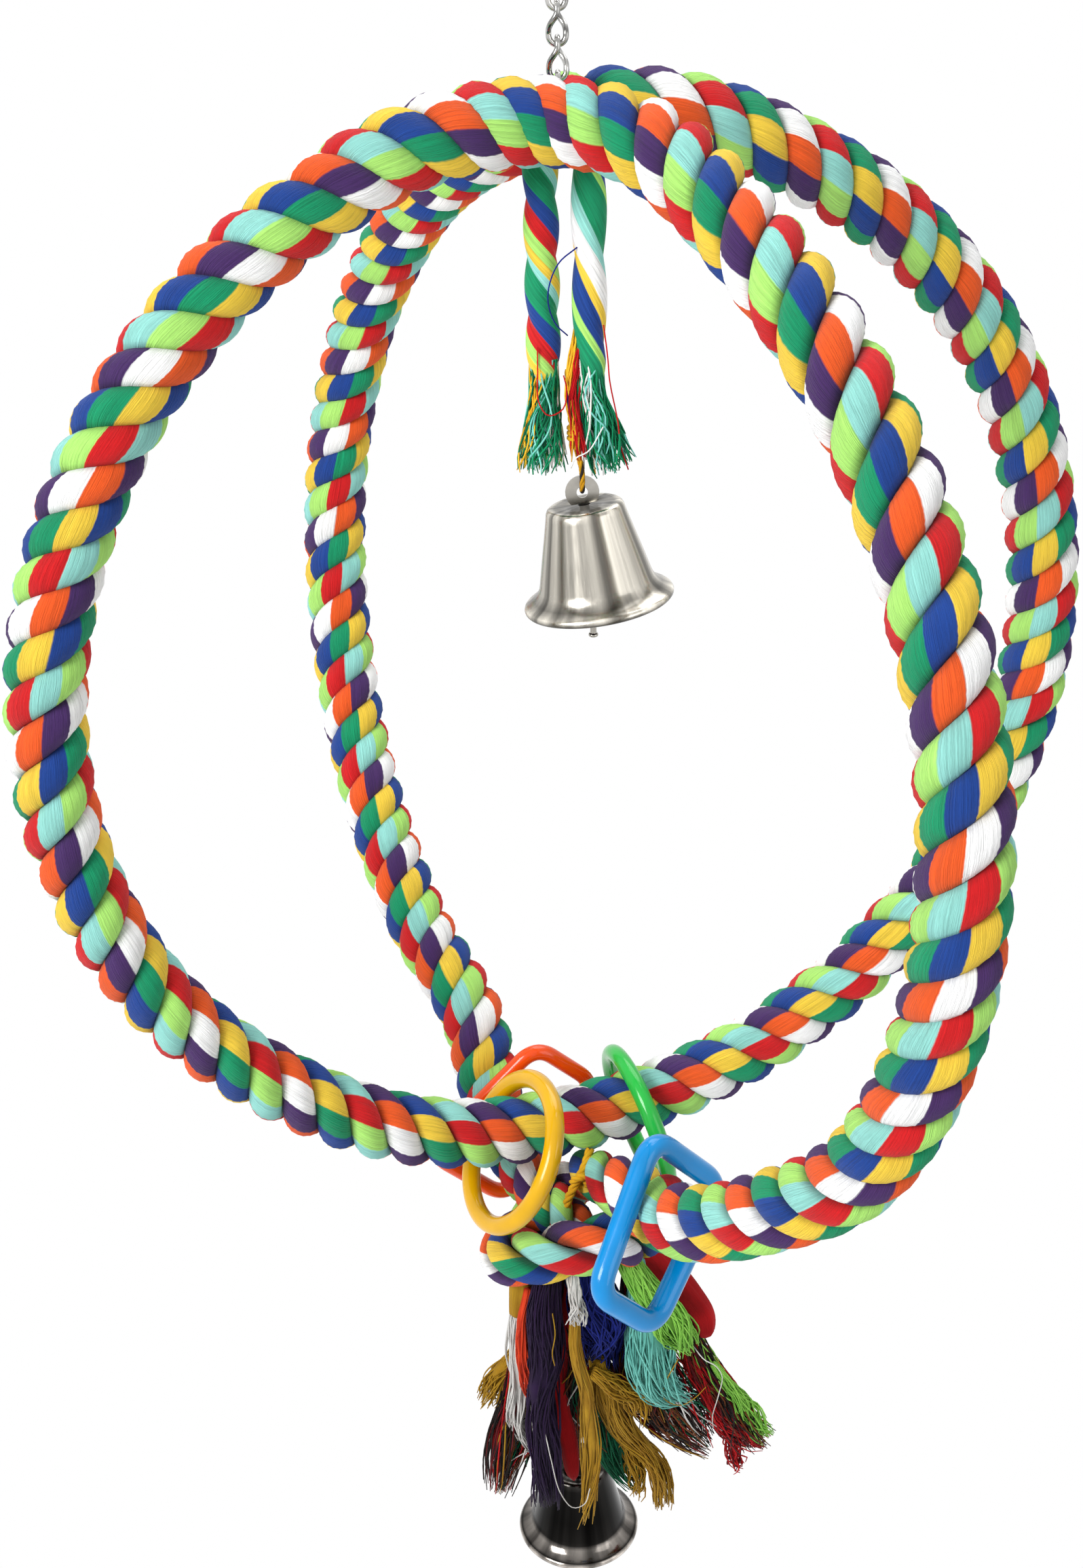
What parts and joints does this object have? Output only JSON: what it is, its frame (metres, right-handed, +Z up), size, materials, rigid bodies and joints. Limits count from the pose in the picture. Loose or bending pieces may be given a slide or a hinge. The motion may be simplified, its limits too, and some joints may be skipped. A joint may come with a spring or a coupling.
{
  "type": "rope bird swing",
  "caption": "Hanging bird swing: crossed hoops of thick cotton rope on a short chain, with swinging bells, threaded plastic links and a yarn tassel.",
  "frame": {"origin": "hang point, inside the top bow of the quick link", "axes": "+Z up along the chain; +X to the right and -Y to the front as pictured"},
  "size_m": [0.354, 0.3564, 0.6279],
  "materials": {
    "link_steel": "bright nickel plate",
    "bell_nickel": "satin nickel",
    "hoop_cotton": "three-strand cotton rope with bands of many colours",
    "gold_yarn": "gold cotton yarn",
    "small_rope_cotton": "twisted cotton yarns of many colours",
    "dark_cord": "dark braided cord",
    "yellow_plastic": "glossy",
    "green_plastic": "glossy",
    "blue_plastic": "glossy",
    "orange_plastic": "glossy",
    "purple_yarn": "cotton yarn",
    "blue_yarn": "cotton yarn",
    "white_yarn": "cotton yarn",
    "orange_yarn": "cotton yarn",
    "red_yarn": "cotton yarn",
    "green_yarn": "cotton yarn",
    "aqua_yarn": "cotton yarn",
    "lime_yarn": "cotton yarn",
    "core_yarn": "mixed dark inner yarns"
  },
  "bodies": {
    "hanger": {"quick_link_body": "link_steel"},
    "hanger_nut": {"quick_link_nut": "link_steel"},
    "link_1": {"chain_link_1": "link_steel"},
    "link_2": {"chain_link_2": "link_steel"},
    "link_3": {"chain_link_3": "link_steel"},
    "link_4": {"chain_link_4": "link_steel"},
    "hoop": {"hoop_rope": "hoop_cotton", "cross_pin": "link_steel", "tie_cord": "gold_yarn", "lower_bell_cord": "dark_cord", "tassel_purple": "purple_yarn", "tassel_blue": "blue_yarn", "tassel_gold_front": "gold_yarn", "tassel_gold_right": "gold_yarn", "tassel_red_centre": "red_yarn", "tassel_white": "white_yarn", "tassel_orange": "orange_yarn", "tassel_yellow": "gold_yarn", "tassel_core_left": "core_yarn", "tassel_green": "green_yarn", "tassel_aqua": "aqua_yarn", "tassel_lime": "lime_yarn", "tassel_red": "red_yarn", "tassel_core_right": "core_yarn", "tassel_core_fan": "core_yarn", "tassel_mustard": "gold_yarn", "tassel_white_loop": "white_yarn"},
    "yellow_ring": {"yellow_ring": "yellow_plastic"},
    "green_ring": {"green_ring": "green_plastic"},
    "blue_link": {"blue_link": "blue_plastic"},
    "orange_link": {"orange_link": "orange_plastic"},
    "bell_rope": {"bell_rope_left": "small_rope_cotton", "bell_rope_right": "small_rope_cotton", "bell_rope_fray_left": "small_rope_cotton", "bell_rope_fray_right": "small_rope_cotton", "upper_bell_cord": "gold_yarn"},
    "upper_bell": {"upper_bell_shell": "bell_nickel", "upper_bell_eye": "bell_nickel"},
    "upper_clapper": {"upper_bell_clapper": "bell_nickel"},
    "lower_bell": {"lower_bell_shell": "bell_nickel", "lower_bell_eye": "bell_nickel"},
    "lower_clapper": {"lower_bell_clapper": "bell_nickel"}
  },
  "joints": [
    {"name": "nut_slide", "type": "slide", "parent": "hanger", "child": "hanger_nut", "axis": [0, 0, -1], "range_m": [0, 0.006]},
    {"name": "link_1_swing", "type": "hinge", "parent": "hanger", "child": "link_1", "pos_m": [0, 0, -0.02305], "axis": [0, 1, 0], "range_deg": [-20, 20]},
    {"name": "link_2_swing", "type": "hinge", "parent": "link_1", "child": "link_2", "pos_m": [0, 0, -0.03445], "axis": [1, 0, 0], "range_deg": [-20, 20]},
    {"name": "link_3_swing", "type": "hinge", "parent": "link_2", "child": "link_3", "pos_m": [0, 0, -0.04185], "axis": [0, 1, 0], "range_deg": [-20, 20]},
    {"name": "link_4_swing", "type": "hinge", "parent": "link_3", "child": "link_4", "pos_m": [0, 0, -0.05325], "axis": [1, 0, 0], "range_deg": [-20, 20]},
    {"name": "hoop_swing", "type": "hinge", "parent": "link_4", "child": "hoop", "pos_m": [0, 0, -0.0602], "axis": [0, 1, 0], "range_deg": [-25, 25]},
    {"name": "yellow_ring_lift", "type": "hinge", "parent": "hoop", "child": "yellow_ring", "pos_m": [-0.022, -0.008, -0.4107], "axis": [0.9439, 0.3296, 0.02], "range_deg": [-34, 0]},
    {"name": "green_ring_swing", "type": "hinge", "parent": "hoop", "child": "green_ring", "pos_m": [0.025, 0.0083, -0.41], "axis": [0.9324, 0.3409, 0.1203], "range_deg": [-20, 20]},
    {"name": "blue_link_swing", "type": "hinge", "parent": "hoop", "child": "blue_link", "pos_m": [0.028, -0.057, -0.4127], "axis": [-0.3347, 0.8123, -0.4776], "range_deg": [-10, 10]},
    {"name": "orange_link_turn", "type": "hinge", "parent": "hoop", "child": "orange_link", "pos_m": [-0.026, 0.015, -0.4307], "axis": [-0.3471, 0.9311, 0.112], "range_deg": [-18, 18]},
    {"name": "bell_rope_swing", "type": "hinge", "parent": "hoop", "child": "bell_rope", "pos_m": [0.0015, 0.0006, -0.0721], "axis": [1, 0, 0], "range_deg": [-25, 25]},
    {"name": "upper_bell_swing", "type": "hinge", "parent": "bell_rope", "child": "upper_bell", "pos_m": [0.0058, 0, -0.1748], "axis": [0, 1, 0], "range_deg": [-25, 25]},
    {"name": "upper_clapper_swing", "type": "hinge", "parent": "upper_bell", "child": "upper_clapper", "pos_m": [0.00897, 0, -0.19717], "axis": [0, 1, 0], "range_deg": [-35, 35]},
    {"name": "lower_bell_swing", "type": "hinge", "parent": "hoop", "child": "lower_bell", "pos_m": [0, 0, -0.5763], "axis": [0, 1, 0], "range_deg": [-12, 12]},
    {"name": "lower_clapper_swing", "type": "hinge", "parent": "lower_bell", "child": "lower_clapper", "pos_m": [0, 0, -0.5989], "axis": [0, 1, 0], "range_deg": [-35, 35]}
  ]
}
